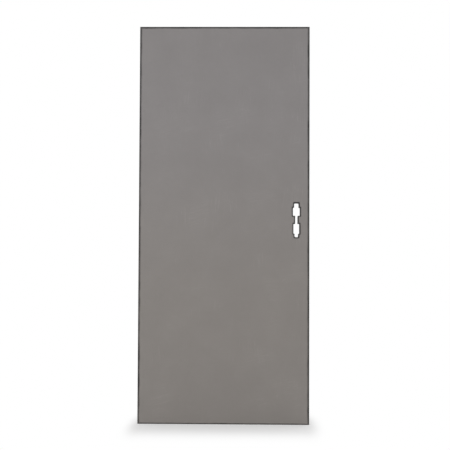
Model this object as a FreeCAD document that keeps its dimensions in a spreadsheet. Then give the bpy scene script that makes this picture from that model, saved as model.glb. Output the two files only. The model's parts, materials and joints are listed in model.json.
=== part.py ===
"""Flush hollow steel door leaf, prepared for three butt hinges and a mortise lock.

Two face sheets are folded into pans and hooked together by a hemmed seam down each edge. Inverted
channels close the top and the bottom, thick plates behind the hinge edge take the hinge screws, two
stepped tabs behind the lock edge take the lock front, and a honeycomb core fills the space between.

The pieces are drawn with the leaf's bottom hinge-side end at the origin: x runs from the hinge edge
to the lock edge, y from the front face (minus) to the back face, and z upwards. Each placement then
brings the origin to the seat of the middle hinge, at mid-thickness.
"""

import FreeCAD, Part
import Sketcher
import math
import os
from types import SimpleNamespace

# Driving dimensions, in millimetres: the cell's alias, its value, what it measures
SIZES = (
    ("door_width", 908.0, "leaf from the hinge edge to the lock edge"),
    ("door_height", 2115.0, "leaf from the bottom to the top"),
    ("door_thickness", 44.5, "leaf from face to face"),
    ("face_gauge", 1.2, "thickness of the face sheets"),
    ("bend_radius", 1.2, "inside radius of the face sheets' folds"),
    ("seam_from_front", 22.0, "front face to the line of the edge seam"),
    ("seam_depth", 14.0, "leaf's edge to the inner end of the seam"),
    ("hem_return", 8.0, "length of the hem's folded leg"),
    ("seam_clearance", 0.1, "play between the layers of the seam"),
    ("fit_clearance", 0.6, "play where a stiffener passes a fold or a seam"),
    ("seat_clearance", 0.2, "play round a seat in its mortise"),
    ("channel_gauge", 1.5, "thickness of the end channels"),
    ("channel_flange", 25.0, "height of the end channels"),
    ("channel_bend_radius", 1.5, "inside radius of the end channels' folds"),
    ("hinge_height", 114.3, "height of a hinge leaf"),
    ("hinge_leaf_depth", 3.4, "depth of a hinge mortise below the edge"),
    ("hinge_setback", 6.4, "front face to the closed side of a hinge mortise"),
    ("top_hinge_drop", 248.0, "top of the leaf to the middle of the top hinge"),
    ("bottom_hinge_rise", 280.0, "bottom of the leaf to the middle of the bottom hinge"),
    ("hinge_plate_length", 230.0, "height of a hinge reinforcement"),
    ("hinge_plate_gauge", 4.5, "thickness of a hinge reinforcement"),
    ("hinge_plate_corner", 0.8, "rounding of a hinge reinforcement's steps"),
    ("hinge_outer_screws", 92.0, "spacing of a hinge's outer screws"),
    ("hinge_inner_screws", 35.0, "spacing of a hinge's inner screws"),
    ("hinge_outer_inset", 12.7, "closed side of the mortise to the outer screws"),
    ("hinge_inner_inset", 25.4, "closed side of the mortise to the inner screws"),
    ("tapped_hole", 4.5, "diameter of every tapped hole"),
    ("lock_rise", 1082.4, "bottom of the leaf to the middle of the lock"),
    ("lock_backset", 69.0, "lock edge to the middle of the face cut-outs"),
    ("lock_front_height", 203.2, "height of the lock front's mortise"),
    ("lock_front_width", 31.8, "width of the lock front's mortise"),
    ("lock_front_depth", 5.6, "lock edge to the seat of the lock front"),
    ("lock_screws", 187.3, "spacing of the lock front's screws"),
    ("lock_tab_gauge", 2.7, "thickness of a lock tab"),
    ("lock_tab_bend", 0.8, "inside radius of a lock tab's folds"),
    ("lock_tab_reach", 18.0, "length of a lock tab inside the mortise"),
    ("lock_tab_leg", 36.0, "length of a lock tab's leg behind the edge"),
    ("lock_pocket_depth", 122.0, "lock edge to the back of the core's pocket"),
    ("lock_pocket_height", 290.0, "height of the core's pocket"),
    ("cylinder_width", 37.4, "width of the cylinder's hole"),
    ("cylinder_height", 43.7, "height of the cylinder's hole"),
    ("turn_width", 24.7, "width of the slot above the cylinder's hole"),
    ("turn_height", 23.4, "height of the slot above the cylinder's hole"),
    ("neck_width", 13.5, "width of the slot between the holes"),
    ("neck_height", 42.8, "height of the slot between the holes"),
    ("hub_width", 31.5, "width of the lever hub's hole"),
    ("hub_height", 53.0, "height of the lever hub's hole"),
    ("relief_width", 19.8, "width of the slot below the hub's hole"),
    ("relief_height", 18.0, "height of the slot below the hub's hole"),
    ("cutout_corner", 2.4, "rounding of the holes' corners beside the neck"),
    ("cutout_shoulder", 4.0, "rounding of the holes' corners away from the neck"),
    ("cutout_inner_corner", 1.0, "rounding where a slot meets its hole"),
    ("cutout_end_corner", 6.0, "rounding of the cut-outs' top and bottom"),
    ("core_clearance", 4.0, "seam's inner end to the core"),
)
QUARTER_TURN = math.pi / 2

# The most that a rounding takes of the step or end that it rounds
CORNER_SHARE = 0.44
SHOULDER_SHARE = 0.72
INNER_CORNER_SHARE = 0.2
END_SHARE = 0.45
PLATE_STEP_SHARE = 0.4
TAB_STEP_SHARE = 0.9


class Length:
    """A length in millimetres, kept with the formula that the size sheet works it out by."""

    def __init__(self, value, formula):
        self.value = value
        self.formula = formula

    def __add__(self, other):
        other = as_length(other)
        return Length(self.value + other.value, f"({self.formula} + {other.formula})")

    def __sub__(self, other):
        other = as_length(other)
        return Length(self.value - other.value, f"({self.formula} - {other.formula})")

    def __mul__(self, factor):
        return Length(self.value * factor, f"({self.formula} * ({factor}))")

    def __truediv__(self, divisor):
        return Length(self.value / divisor, f"({self.formula} / {divisor})")

    def __neg__(self):
        return self * -1


def as_length(number):
    """Gives a plain number the form of a length."""
    return number if isinstance(number, Length) else Length(float(number), f"({number})")


def smallest(*lengths):
    """Gives the smallest of several lengths, whichever that is once the sizes change."""
    formulas = "; ".join(length.formula for length in lengths)
    return Length(min(length.value for length in lengths), f"min({formulas})")


def make_size_sheet(document):
    """Puts the driving dimensions into a spreadsheet, one alias to a row, and gives them as lengths."""
    sheet = document.addObject("Spreadsheet::Sheet", "Sizes")
    lengths = {}
    for row, (alias, millimetres, meaning) in enumerate(SIZES, start=1):
        sheet.set(f"A{row}", meaning)
        sheet.set(f"B{row}", str(millimetres))
        sheet.setAlias(f"B{row}", alias)
        lengths[alias] = Length(millimetres, f"Sizes.{alias}")
    document.recompute()
    return SimpleNamespace(**lengths)


doc = FreeCAD.newDocument("steel_door_leaf")
size = make_size_sheet(doc)

# Planes and lines that several pieces share
ZERO = as_length(0)
FRONT = size.door_thickness / -2
BACK = size.door_thickness / 2
FRONT_INSIDE = FRONT + size.face_gauge
BACK_INSIDE = BACK - size.face_gauge
FOLD = size.bend_radius + size.face_gauge
SEAM = FRONT + size.seam_from_front
BACK_SEAM = SEAM + size.seam_clearance
HEM_INSIDE = SEAM + size.face_gauge + size.seam_clearance * 2
HEM_OUTSIDE = HEM_INSIDE + size.face_gauge
HEM_FOLD = size.face_gauge / 2
HEM_OUTER_FOLD = HEM_FOLD + size.face_gauge
SEAM_SLOT = (SEAM - FOLD - size.fit_clearance, BACK_SEAM + FOLD + size.fit_clearance)
SEAM_SLOT_DEPTH = size.seam_depth + size.fit_clearance
HINGE_SIDE = FRONT + size.hinge_setback
TOP_HINGE = size.door_height - size.top_hinge_drop
BOTTOM_HINGE = size.bottom_hinge_rise
MIDDLE_HINGE = (TOP_HINGE + BOTTOM_HINGE) / 2
HINGES = {"top": TOP_HINGE, "middle": MIDDLE_HINGE, "bottom": BOTTOM_HINGE}
OVERCUT = size.door_thickness


def from_hinge_edge(depth):
    """Gives the x of a depth below the hinge edge."""
    return depth


def from_lock_edge(depth):
    """Gives the x of a depth below the lock edge."""
    return size.door_width - depth


def new_body(label, height=ZERO):
    """Starts a piece whose own zero lies at a height above the leaf's bottom."""
    body = doc.addObject("PartDesign::Body", label)
    body.Label = label
    body.setExpression("Placement.Base.x", (-size.hinge_leaf_depth).formula)
    body.setExpression("Placement.Base.z", (height - MIDDLE_HINGE).formula)
    return body


def new_sketch(body, plane, offset=ZERO):
    """Starts a sketch on one of the body's origin planes, moved along the plane's normal."""
    sketch = body.newObject("Sketcher::SketchObject", f"{body.Label}_sketch")
    support = next(part for part in body.Origin.OriginFeatures if part.Role == plane)
    sketch.AttachmentSupport = (support, "")
    sketch.MapMode = "FlatFace"
    sketch.setExpression("AttachmentOffset.Base.z", offset.formula)
    return sketch


class SketchBook:
    """Gathers a sketch's constraints with the formulas of those that are dimensions."""

    def __init__(self, sketch):
        self.sketch = sketch
        self.constraints = []
        self.formulas = {}

    def hold(self, kind, *where, length):
        """Adds a dimension."""
        self.formulas[len(self.constraints)] = length.formula
        self.constraints.append(Sketcher.Constraint(kind, *where, length.value))

    def place(self, item, end, spot):
        """Fixes one end of an item by its two coordinates."""
        self.hold("DistanceX", -1, 1, item, end, length=spot[0])
        self.hold("DistanceY", -1, 1, item, end, length=spot[1])

    def join(self, item, end, other, other_end):
        """Makes two ends meet."""
        self.constraints.append(Sketcher.Constraint("Coincident", item, end, other, other_end))

    def close(self):
        """Hands the constraints to the sketch and binds the dimensions to the sheet."""
        first = self.sketch.ConstraintCount
        self.sketch.addConstraint(self.constraints)
        for index, formula in self.formulas.items():
            self.sketch.setExpression(f"Constraints[{first + index}]", formula)


def point(spot):
    """Gives a pair of lengths as a vector in the sketch."""
    return FreeCAD.Vector(spot[0].value, spot[1].value, 0)


def heading(start, finish):
    """Gives the direction of a run along one of the sketch's axes."""
    step = point(finish) - point(start)
    return FreeCAD.Vector(step).normalize()


def shifted(spot, direction, distance):
    """Moves a spot by a distance along one of the sketch's axes."""
    return (spot[0] + distance * round(direction.x), spot[1] + distance * round(direction.y))


def draw_outline(sketch, corners):
    """Draws a closed loop of runs along the sketch's axes; a corner is x, y and a radius if it is rounded."""
    book = SketchBook(sketch)
    spots = [corner[:2] for corner in corners]
    radii = [corner[2] if len(corner) > 2 else None for corner in corners]
    count = len(corners)
    ways = [heading(spots[index], spots[(index + 1) % count]) for index in range(count)]

    runs = []
    for index, way in enumerate(ways):
        start, finish = spots[index], spots[(index + 1) % count]
        start_radius, finish_radius = radii[index], radii[(index + 1) % count]
        if start_radius:
            start = shifted(start, way, start_radius)
        if finish_radius:
            finish = shifted(finish, -way, finish_radius)
        run = sketch.addGeometry(Part.LineSegment(point(start), point(finish)))
        book.place(run, 1, start)
        if finish_radius:
            book.place(run, 2, finish)
        runs.append(run)

    for index, radius in enumerate(radii):
        before, after = runs[index - 1], runs[index]
        if radius:
            draw_corner(book, point(spots[index]), ways[index - 1], ways[index], radius, before, after)
        else:
            book.join(before, 2, after, 1)
    book.close()


def draw_corner(book, spot, arriving, leaving, radius, before, after):
    """Rounds the corner between two runs with a quarter circle."""
    turns_left = arriving.cross(leaving).z > 0
    first = -leaving if turns_left else arriving
    begin = math.atan2(first.y, first.x)
    circle = Part.Circle(spot + (leaving - arriving) * radius.value, FreeCAD.Vector(0, 0, 1), radius.value)
    arc = book.sketch.addGeometry(Part.ArcOfCircle(circle, begin, begin + QUARTER_TURN))
    book.join(arc, 1 if turns_left else 2, before, 2)
    book.join(arc, 2 if turns_left else 1, after, 1)
    book.hold("Radius", arc, length=radius)


def draw_rectangle(sketch, across, up):
    """Draws a rectangle between a pair of x and a pair of y."""
    (left, right), (low, high) = across, up
    draw_outline(sketch, [(left, low), (right, low), (right, high), (left, high)])


def draw_holes(sketch, centres, diameter):
    """Draws one circle at each centre."""
    book = SketchBook(sketch)
    for centre in centres:
        circle = Part.Circle(point(centre), FreeCAD.Vector(0, 0, 1), diameter.value / 2)
        hole = sketch.addGeometry(circle)
        book.place(hole, 3, centre)
        book.hold("Diameter", hole, length=diameter)
    book.close()


def pad(body, sketch, length, side="One side"):
    """Gives a sketch its length along the plane's normal."""
    feature = body.newObject("PartDesign::Pad", f"{body.Label}_pad")
    feature.Profile = sketch
    feature.SideType = side
    feature.setExpression("Length", length.formula)


def cut(body, sketch, length):
    """Cuts a sketch out of the body, over a length that its plane halves."""
    feature = body.newObject("PartDesign::Pocket", f"{body.Label}_cut")
    feature.Profile = sketch
    feature.SideType = "Symmetric"
    feature.setExpression("Length", length.formula)


# Face sheets


def front_sheet_end(x_at):
    """Lists the front sheet's corners at the edge that x_at measures from, from the outside in.

    The sheet turns round the edge, in along the seam, and folds back over the other sheet's flange.
    """
    hem_inside_end = x_at(size.seam_depth - size.face_gauge)
    hem_leg_end = x_at(size.seam_depth - size.hem_return)
    flange = SEAM - size.face_gauge
    return [
        (x_at(ZERO), FRONT, FOLD),
        (x_at(ZERO), SEAM, FOLD),
        (hem_inside_end, SEAM, HEM_FOLD),
        (hem_inside_end, HEM_INSIDE, HEM_FOLD),
        (hem_leg_end, HEM_INSIDE),
        (hem_leg_end, HEM_OUTSIDE),
        (x_at(size.seam_depth), HEM_OUTSIDE, HEM_OUTER_FOLD),
        (x_at(size.seam_depth), flange, HEM_OUTER_FOLD),
        (x_at(size.face_gauge), flange, size.bend_radius),
        (x_at(size.face_gauge), FRONT_INSIDE, size.bend_radius),
    ]


def back_sheet_end(x_at):
    """Lists the back sheet's corners at the edge that x_at measures from, from the outside in.

    The sheet turns round the edge, and its flange reaches into the other sheet's hem as far as the fold.
    """
    flange_end = x_at(size.seam_depth - HEM_OUTER_FOLD)
    flange = BACK_SEAM + size.face_gauge
    return [
        (x_at(ZERO), BACK, FOLD),
        (x_at(ZERO), BACK_SEAM, FOLD),
        (flange_end, BACK_SEAM),
        (flange_end, flange),
        (x_at(size.face_gauge), flange, size.bend_radius),
        (x_at(size.face_gauge), BACK_INSIDE, size.bend_radius),
    ]


def make_face_sheet(label, sheet_end):
    """Folds one face sheet and cuts its mortises and the lock's holes."""
    body = new_body(label)
    profile = new_sketch(body, "XY_Plane")
    draw_outline(profile, sheet_end(from_hinge_edge) + sheet_end(from_lock_edge)[::-1])
    pad(body, profile, size.door_height)
    for height in HINGES.values():
        cut_hinge_mortise(body, height)
    cut_lock_mortise(body)
    cut_lock_holes(body)
    return body


def cut_hinge_mortise(body, height):
    """Cuts a hinge leaf's mortise out of the hinge edge, open to the back face, and the seam behind it."""
    mortise = new_sketch(body, "XY_Plane", height)
    draw_rectangle(mortise, (-OVERCUT, size.hinge_leaf_depth), (HINGE_SIDE, BACK + OVERCUT))
    cut(body, mortise, size.hinge_height)
    seam = new_sketch(body, "XY_Plane", height)
    draw_rectangle(seam, (FOLD, SEAM_SLOT_DEPTH), SEAM_SLOT)
    cut(body, seam, size.hinge_height + size.fit_clearance * 2)


def cut_lock_mortise(body):
    """Cuts the lock front's mortise out of the lock edge, with the seam behind it."""
    mortise = new_sketch(body, "XY_Plane", size.lock_rise)
    across = (from_lock_edge(SEAM_SLOT_DEPTH), size.door_width + OVERCUT)
    draw_rectangle(mortise, across, (size.lock_front_width / -2, size.lock_front_width / 2))
    cut(body, mortise, size.lock_front_height)


def cut_lock_holes(body):
    """Cuts the cylinder's and the lever hub's holes, the slot that joins them and the slots beyond them."""
    holes = new_sketch(body, "XZ_Plane")
    neck_top = size.lock_rise + size.neck_height / 2
    neck_bottom = size.lock_rise - size.neck_height / 2
    cylinder_top = neck_top + size.cylinder_height
    hub_bottom = neck_bottom - size.hub_height
    neck_step = smallest(size.cylinder_width, size.hub_width) - size.neck_width
    slot_step = smallest(size.cylinder_width - size.turn_width, size.hub_width - size.relief_width)
    corner = smallest(size.cutout_corner, neck_step / 2 * CORNER_SHARE)
    shoulder = smallest(size.cutout_shoulder, slot_step / 2 * SHOULDER_SHARE)
    inner_corner = smallest(size.cutout_inner_corner, slot_step / 2 * INNER_CORNER_SHARE)
    end_corner = smallest(size.cutout_end_corner, size.turn_width * END_SHARE, size.relief_width * END_SHARE)
    half_outline = [
        (size.turn_width, cylinder_top + size.turn_height, end_corner),
        (size.turn_width, cylinder_top, inner_corner),
        (size.cylinder_width, cylinder_top, shoulder),
        (size.cylinder_width, neck_top, corner),
        (size.neck_width, neck_top, corner),
        (size.neck_width, neck_bottom, corner),
        (size.hub_width, neck_bottom, corner),
        (size.hub_width, hub_bottom, shoulder),
        (size.relief_width, hub_bottom, inner_corner),
        (size.relief_width, hub_bottom - size.relief_height, end_corner),
    ]
    middle = from_lock_edge(size.lock_backset)
    right = [(middle + width / 2, height, radius) for width, height, radius in half_outline]
    left = [(middle - width / 2, height, radius) for width, height, radius in half_outline]
    draw_outline(holes, right + left[::-1])
    cut(body, holes, OVERCUT * 2)


# End channels


def make_end_channel(label, end, inwards):
    """Folds a channel that closes one end of the leaf, its flanges flush with that end.

    inwards is 1 where the leaf rises from the end and -1 where it hangs from it.
    """
    body = new_body(label, end)
    gap = FOLD + size.fit_clearance
    profile = new_sketch(body, "YZ_Plane", gap)
    front_flange = FRONT_INSIDE + size.channel_gauge
    back_flange = BACK_INSIDE - size.channel_gauge
    web_outside = size.channel_flange * inwards
    web_inside = (size.channel_flange - size.channel_gauge) * inwards
    outer_bend = size.channel_bend_radius + size.channel_gauge
    corners = [
        (FRONT_INSIDE, ZERO),
        (front_flange, ZERO),
        (front_flange, web_inside, size.channel_bend_radius),
        (back_flange, web_inside, size.channel_bend_radius),
        (back_flange, ZERO),
        (BACK_INSIDE, ZERO),
        (BACK_INSIDE, web_outside, outer_bend),
        (FRONT_INSIDE, web_outside, outer_bend),
    ]
    draw_outline(profile, corners)
    pad(body, profile, size.door_width - gap * 2)
    for x_at in (from_hinge_edge, from_lock_edge):
        notch = new_sketch(body, "XY_Plane")
        draw_rectangle(notch, (x_at(ZERO), x_at(SEAM_SLOT_DEPTH)), SEAM_SLOT)
        cut(body, notch, (size.channel_flange + OVERCUT) * 2)
    return body


# Hinge reinforcements


def make_hinge_reinforcement(label, height):
    """Presses a thick plate whose middle is a hinge leaf's seat and whose ends lie behind the edge."""
    body = new_body(label, height)
    front_edge = HINGE_SIDE + size.seat_clearance
    back_edge = BACK_INSIDE - size.seam_clearance
    seat_end = size.hinge_height / 2 - size.seat_clearance
    plate_end = size.hinge_plate_length / 2
    ends_back = size.face_gauge + size.hinge_plate_gauge
    seat_back = size.hinge_leaf_depth + size.hinge_plate_gauge
    step = size.hinge_leaf_depth - size.face_gauge
    corner = smallest(size.hinge_plate_corner, step * PLATE_STEP_SHARE)
    profile = new_sketch(body, "XZ_Plane", (front_edge + back_edge) / -2)
    upper_front = [
        (size.hinge_leaf_depth, seat_end),
        (size.face_gauge, seat_end, corner),
        (size.face_gauge, plate_end),
    ]
    upper_back = [
        (ends_back, plate_end),
        (ends_back, seat_end, corner),
        (seat_back, seat_end, corner),
    ]
    upper = upper_front + upper_back
    lower = [(x, -z, *radius) for x, z, *radius in upper[::-1]]
    draw_outline(profile, upper + lower)
    pad(body, profile, back_edge - front_edge, "Symmetric")
    back_fold = (BACK - FOLD - size.fit_clearance, BACK)
    for side in (1, -1):
        fork = (seat_end * side, (plate_end + size.fit_clearance) * side)
        for strip in (SEAM_SLOT, back_fold):
            gap = new_sketch(body, "YZ_Plane")
            draw_rectangle(gap, strip, fork)
            cut(body, gap, OVERCUT * 2)
    screws = new_sketch(body, "YZ_Plane")
    centres = []
    for side in (0.5, -0.5):
        centres.append((HINGE_SIDE + size.hinge_outer_inset, size.hinge_outer_screws * side))
        centres.append((HINGE_SIDE + size.hinge_inner_inset, size.hinge_inner_screws * side))
    draw_holes(screws, centres, size.tapped_hole)
    cut(body, screws, OVERCUT * 2)
    return body


# Lock tabs


def make_lock_tab(label, side):
    """Folds a stepped bracket behind the lock edge, above the mortise (side 1) or below it (side -1)."""
    body = new_body(label, size.lock_rise)
    profile = new_sketch(body, "XZ_Plane")
    mortise_end = size.lock_front_height / 2
    leg_end = mortise_end + size.lock_tab_leg
    tab_end = mortise_end - size.lock_tab_reach
    leg_inside = size.face_gauge + size.lock_tab_gauge
    tab_inside = size.lock_front_depth + size.lock_tab_gauge
    web_inside = mortise_end + size.lock_tab_gauge
    inner_bend = size.lock_tab_bend
    step = size.lock_front_depth - size.face_gauge - size.lock_tab_bend
    outer_bend = smallest(size.lock_tab_bend + size.lock_tab_gauge, step * TAB_STEP_SHARE)
    corners = [
        (size.face_gauge, leg_end),
        (size.face_gauge, mortise_end, outer_bend),
        (size.lock_front_depth, mortise_end, inner_bend),
        (size.lock_front_depth, tab_end),
        (tab_inside, tab_end),
        (tab_inside, web_inside, outer_bend),
        (leg_inside, web_inside, inner_bend),
        (leg_inside, leg_end),
    ]
    draw_outline(profile, [(from_lock_edge(depth), rise * side, *radius) for depth, rise, *radius in corners])
    pad(body, profile, size.lock_front_width - size.seat_clearance * 2, "Symmetric")
    seat = from_lock_edge(size.lock_front_depth)
    slot = new_sketch(body, "YZ_Plane", seat)
    slot_ends = ((mortise_end - size.fit_clearance) * side, (leg_end + size.fit_clearance) * side)
    draw_rectangle(slot, SEAM_SLOT, slot_ends)
    cut(body, slot, OVERCUT * 2)
    screw = new_sketch(body, "YZ_Plane", seat)
    draw_holes(screw, [(ZERO, size.lock_screws / 2 * side)], size.tapped_hole)
    cut(body, screw, OVERCUT * 2)
    return body


# Core


def make_core(label):
    """Fills the leaf between the faces, the seams and the end channels, clear of the lock's pocket."""
    body = new_body(label)
    profile = new_sketch(body, "XZ_Plane")
    hinge_end = size.seam_depth + size.core_clearance
    lock_end = from_lock_edge(hinge_end)
    pocket_back = from_lock_edge(size.lock_pocket_depth)
    pocket_low = size.lock_rise - size.lock_pocket_height / 2
    pocket_high = size.lock_rise + size.lock_pocket_height / 2
    bottom = size.channel_flange
    top = size.door_height - size.channel_flange
    corners = [
        (hinge_end, bottom),
        (lock_end, bottom),
        (lock_end, pocket_low),
        (pocket_back, pocket_low),
        (pocket_back, pocket_high),
        (lock_end, pocket_high),
        (lock_end, top),
        (hinge_end, top),
    ]
    draw_outline(profile, corners)
    pad(body, profile, BACK_INSIDE - FRONT_INSIDE, "Symmetric")
    return body


def make_leaf():
    """Builds every piece of the leaf."""
    pieces = [
        make_face_sheet("front_face_sheet", front_sheet_end),
        make_face_sheet("back_face_sheet", back_sheet_end),
        make_end_channel("top_end_channel", size.door_height, -1),
        make_end_channel("bottom_end_channel", ZERO, 1),
    ]
    for name, height in HINGES.items():
        pieces.append(make_hinge_reinforcement(f"{name}_hinge_reinforcement", height))
    pieces.append(make_lock_tab("upper_lock_tab", 1))
    pieces.append(make_lock_tab("lower_lock_tab", -1))
    pieces.append(make_core("honeycomb_core"))
    return pieces


def check(pieces):
    """Stops if a feature failed, a cut removed nothing or a piece isn't one sound solid."""
    for item in doc.Objects:
        if "Invalid" in item.State or "Error" in item.State:
            raise RuntimeError(f"{item.Name} failed: {item.State}")
        if item.isDerivedFrom("PartDesign::Pocket") and not item.Shape.Volume < item.BaseFeature.Shape.Volume:
            raise RuntimeError(f"{item.Name} cut nothing")
    for piece in pieces:
        if piece.Shape.isNull() or not piece.Shape.isValid() or len(piece.Shape.Solids) != 1:
            raise RuntimeError(f"{piece.Label} isn't one sound solid")


def export(pieces):
    """Writes each piece's shape to a file named by its label."""
    os.makedirs("parts", exist_ok=True)
    for piece in pieces:
        piece.Shape.exportStep(f"parts/{piece.Label}.step")


leaf = make_leaf()
doc.recompute()
check(leaf)
export(leaf)
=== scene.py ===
"""Looks of a flush hollow steel door leaf.

The folded sheets, channels, plates and tabs keep their solid shapes and get their finishes here. The
honeycomb core, the threads of the tapped holes and the spot welds of the end channels are meshes of
their own. Lengths are in metres in the frame of the solids: x runs from the hinge edge to the lock
edge, y from the front face to the back face, and z upwards.
"""

from __future__ import annotations

import json
import logging
import math
import random
from abc import ABC, abstractmethod
from dataclasses import dataclass
from enum import Enum
from functools import partial, reduce
from typing import Iterable, Iterator, Sequence, Union

import bpy
from mathutils import Matrix, Vector

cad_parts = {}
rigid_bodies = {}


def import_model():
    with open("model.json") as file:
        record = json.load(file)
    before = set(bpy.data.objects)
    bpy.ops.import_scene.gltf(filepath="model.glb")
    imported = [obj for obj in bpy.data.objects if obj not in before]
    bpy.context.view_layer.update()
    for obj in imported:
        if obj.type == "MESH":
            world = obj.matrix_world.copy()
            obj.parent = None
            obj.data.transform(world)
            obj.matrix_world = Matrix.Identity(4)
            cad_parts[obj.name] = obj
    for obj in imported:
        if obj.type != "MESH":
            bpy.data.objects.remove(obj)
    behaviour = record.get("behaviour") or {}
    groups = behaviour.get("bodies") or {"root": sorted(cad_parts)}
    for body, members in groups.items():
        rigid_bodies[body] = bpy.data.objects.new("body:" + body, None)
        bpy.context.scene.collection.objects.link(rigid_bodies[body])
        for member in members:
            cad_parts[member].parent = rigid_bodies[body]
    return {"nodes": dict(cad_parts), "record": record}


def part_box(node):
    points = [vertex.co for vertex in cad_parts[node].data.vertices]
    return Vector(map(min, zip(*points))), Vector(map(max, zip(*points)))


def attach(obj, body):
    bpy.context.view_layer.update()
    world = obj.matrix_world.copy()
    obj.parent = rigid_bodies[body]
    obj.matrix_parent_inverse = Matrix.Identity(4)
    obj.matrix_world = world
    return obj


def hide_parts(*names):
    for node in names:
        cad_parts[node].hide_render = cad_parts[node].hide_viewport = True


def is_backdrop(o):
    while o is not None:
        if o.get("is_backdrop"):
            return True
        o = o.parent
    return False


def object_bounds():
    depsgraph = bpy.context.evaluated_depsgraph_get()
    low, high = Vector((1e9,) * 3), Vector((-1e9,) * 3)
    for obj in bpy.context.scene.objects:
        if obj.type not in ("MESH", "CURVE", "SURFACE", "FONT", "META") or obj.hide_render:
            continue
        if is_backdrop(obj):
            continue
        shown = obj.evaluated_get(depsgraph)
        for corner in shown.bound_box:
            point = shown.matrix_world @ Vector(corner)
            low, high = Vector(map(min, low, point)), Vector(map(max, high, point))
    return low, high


LOG = logging.getLogger("door_leaf")
BODY = "root"
MILLIMETRE = 0.001
INCH = 25.4 * MILLIMETRE
ORIGIN = (0.0, 0.0, 0.0)
WHITE = (1.0, 1.0, 1.0)

# The span that most values of a random pattern lie in, and its middle
COMMON_SPAN = (0.3, 0.7)
COMMON_MIDDLE = 0.5

# Places of the share, the two colours and the result among a colour blend's sockets
BLEND_SHARE = 0
BLEND_FIRST = 6
BLEND_SECOND = 7
BLEND_RESULT = 2

# Points of a trimmed line that lie closer than this count as one
SHORTEST_STEP = 0.1 * MILLIMETRE

Piece = bpy.types.Object
Material = bpy.types.Material
Node = bpy.types.Node
Socket = bpy.types.NodeSocket
Input = Union[Socket, float, Sequence[float]]
Pair = tuple[float, float]
Point = tuple[float, float]
Triple = tuple[float, float, float]


class Slot(Enum):
    """Finishes that the solids are listed with."""

    PRIMER = "grey_primer"
    PLATE = "plate_steel"
    KRAFT = "kraft_honeycomb"


class LeafEnd(Enum):
    """Ends of the leaf that a channel closes."""

    TOP = "top"
    BOTTOM = "bottom"


class Hinge(Enum):
    """Hinges that the hinge edge is cut for."""

    TOP = "top"
    MIDDLE = "middle"
    BOTTOM = "bottom"


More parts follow.
